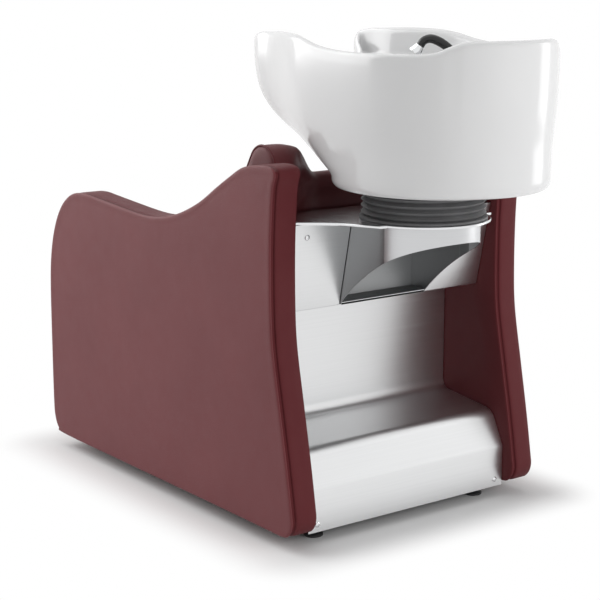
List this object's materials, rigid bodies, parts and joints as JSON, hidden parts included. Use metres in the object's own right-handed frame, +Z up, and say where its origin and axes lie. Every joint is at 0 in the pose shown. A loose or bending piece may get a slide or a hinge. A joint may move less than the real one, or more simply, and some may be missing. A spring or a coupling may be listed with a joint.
{
  "type": "salon wash unit",
  "caption": "Free-standing salon wash unit: padded seat between upholstered side panels, tilting ceramic basin on a ribbed bellows, steel rear covers with a bottle pocket.",
  "frame": {"origin": "centre of the bounding box on the floor", "axes": "+X across the width, -Y towards the client's feet, +Y towards the operator, +Z up"},
  "size_m": [0.66, 1.2364, 1.01],
  "materials": {
    "vinyl": "burgundy upholstery vinyl with a fine grain, satin",
    "edge_vinyl": "burgundy upholstery vinyl stretched over board, satin",
    "seat_vinyl": "burgundy upholstery vinyl over foam, with seams",
    "plywood": "birch plywood, unfinished",
    "frame_steel": "square steel tube, dark powder coat",
    "brushed_steel": "stainless sheet, brushed along its width",
    "bright_steel": "stainless steel, bright",
    "black_paint": "black powder-coated steel",
    "rubber": "dark grey moulded rubber, matt",
    "black_plastic": "black moulded plastic",
    "ceramic": "white glazed sanitary ceramic, glossy",
    "chrome": "polished chrome plate",
    "black_gloss": "black plastic, semi-gloss"
  },
  "bodies": {
    "chair": {"base_frame": "frame_steel", "seat_frame": "frame_steel", "rear_frame": "frame_steel", "side_board_left": "edge_vinyl", "side_board_right": "edge_vinyl", "side_pad_left": "vinyl", "side_pad_right": "vinyl", "seat_board": "plywood", "seat_cushion": "seat_vinyl", "front_board": "plywood", "front_pad": "seat_vinyl", "backrest_board": "plywood", "backrest_cushion": "seat_vinyl", "lower_rear_cover": "brushed_steel", "upper_rear_cover": "brushed_steel", "pocket_tray": "brushed_steel", "top_plate": "bright_steel", "cover_screws": "bright_steel", "tilt_fork": "black_paint", "fork_bolts": "bright_steel", "tilt_pins": "bright_steel", "bellows": "rubber"},
    "tilting_basin": {"basin": "ceramic", "tilt_saddle": "black_paint", "waste_fitting": "chrome", "mixer_body": "chrome", "shower_socket": "chrome"},
    "mixer_swivel": {"mixer_cap": "chrome"},
    "flow_lever": {"mixer_lever": "chrome"},
    "shower": {"hand_shower": "black_gloss", "spray_head": "chrome"},
    "hair_strainer": {"strainer": "chrome"},
    "front_left_foot": {"foot_front_left": "black_plastic"},
    "front_right_foot": {"foot_front_right": "black_plastic"},
    "rear_left_foot": {"foot_rear_left": "black_plastic"},
    "rear_right_foot": {"foot_rear_right": "black_plastic"}
  },
  "joints": [
    {"name": "basin_tilt", "type": "hinge", "parent": "chair", "child": "tilting_basin", "pos_m": [0, 0.343, 0.672], "axis": [1, 0, 0], "range_deg": [-8, 5], "deforming": ["bellows"]},
    {"name": "mixer_turn", "type": "hinge", "parent": "tilting_basin", "child": "mixer_swivel", "pos_m": [-0.08, 0.515, 0.9743], "axis": [0, 0, 1], "range_deg": [-50, 50]},
    {"name": "lever_lift", "type": "hinge", "parent": "mixer_swivel", "child": "flow_lever", "pos_m": [-0.08, 0.515, 0.9743], "axis": [-1, 0, 0], "range_deg": [0, 24]},
    {"name": "shower_pull", "type": "slide", "parent": "tilting_basin", "child": "shower", "axis": [0, 0, 1], "range_m": [0, 0.15]},
    {"name": "strainer_lift", "type": "slide", "parent": "tilting_basin", "child": "hair_strainer", "axis": [0, 0, 1], "range_m": [0, 0.06]},
    {"name": "front_left_level", "type": "slide", "parent": "chair", "child": "front_left_foot", "axis": [0, 0, -1], "range_m": [0, 0.012]},
    {"name": "front_right_level", "type": "slide", "parent": "chair", "child": "front_right_foot", "axis": [0, 0, -1], "range_m": [0, 0.012]},
    {"name": "rear_left_level", "type": "slide", "parent": "chair", "child": "rear_left_foot", "axis": [0, 0, -1], "range_m": [0, 0.012]},
    {"name": "rear_right_level", "type": "slide", "parent": "chair", "child": "rear_right_foot", "axis": [0, 0, -1], "range_m": [0, 0.012]}
  ]
}
